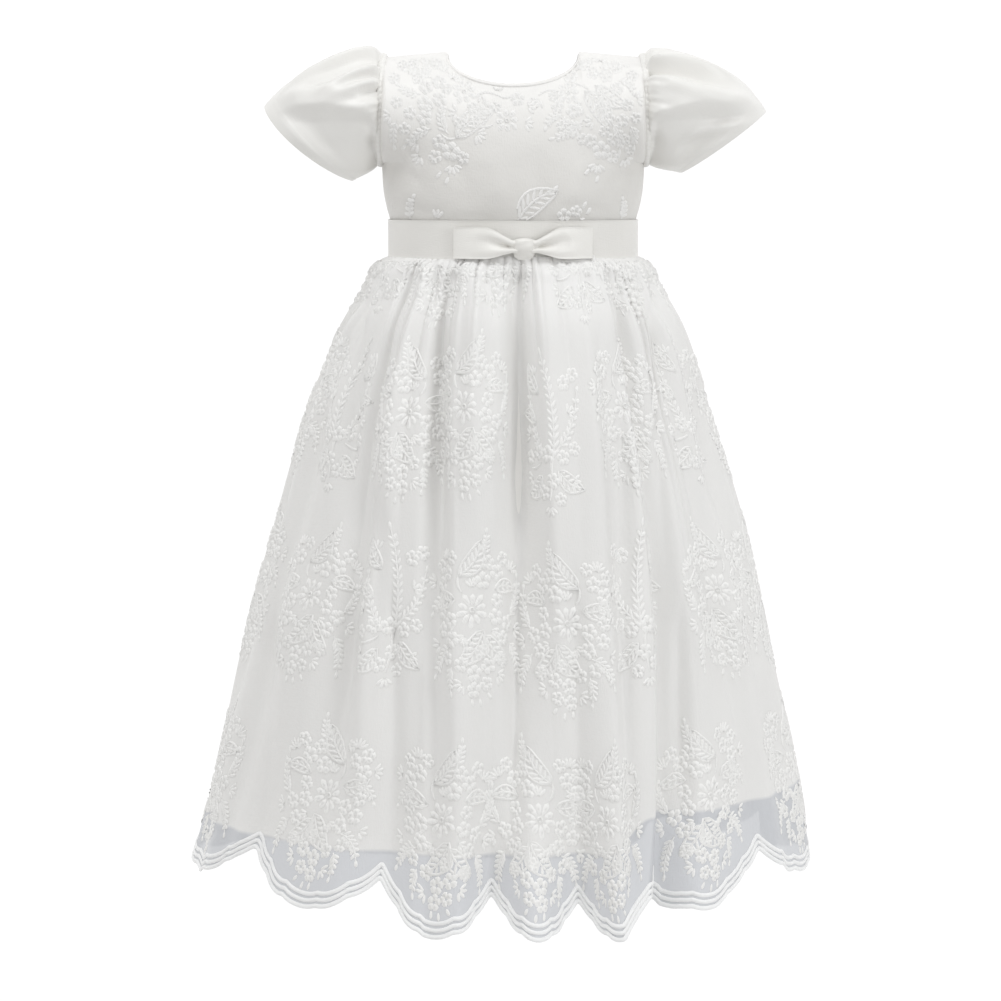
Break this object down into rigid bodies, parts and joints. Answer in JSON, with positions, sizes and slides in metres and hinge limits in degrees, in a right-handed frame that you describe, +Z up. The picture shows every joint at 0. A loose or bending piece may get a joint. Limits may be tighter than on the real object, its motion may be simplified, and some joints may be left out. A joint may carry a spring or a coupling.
{
  "type": "christening gown",
  "caption": "Baby christening gown worn out to its full form: short puffed sleeves, lace bodice, ribbon sash with flat bow, gathered sheer lace skirt with scalloped hem over a lining.",
  "frame": {"origin": "the middle of the line between the shoulders, level with the highest point of the shoulder seams, where the worn gown is held", "axes": "+Z up; the gown faces -Y; +X is the viewer's right seen from the front"},
  "size_m": [0.4835, 0.4226, 0.6504],
  "materials": {
    "lace_on_satin": "off-white embroidered lace laid on satin, softly glossy",
    "satin": "off-white satin, soft gloss",
    "ribbon": "off-white satin ribbon, soft gloss",
    "sheer_lace": "sheer off-white net with raised embroidery and corded edge",
    "button_satin": "button covered in off-white satin"
  },
  "bodies": {
    "root": {"bodice_front": "lace_on_satin", "bodice_back_left": "lace_on_satin", "bodice_back_right": "lace_on_satin", "sleeve_left": "satin", "sleeve_right": "satin", "sash": "ribbon", "bow_left": "ribbon", "bow_right": "ribbon", "bow_knot": "ribbon", "skirt_lace_front": "sheer_lace", "skirt_lace_back": "sheer_lace", "skirt_lining_front": "satin", "skirt_lining_back": "satin", "button_1": "button_satin", "button_2": "button_satin", "button_3": "button_satin", "button_4": "button_satin", "button_5": "button_satin"}
  },
  "joints": []
}
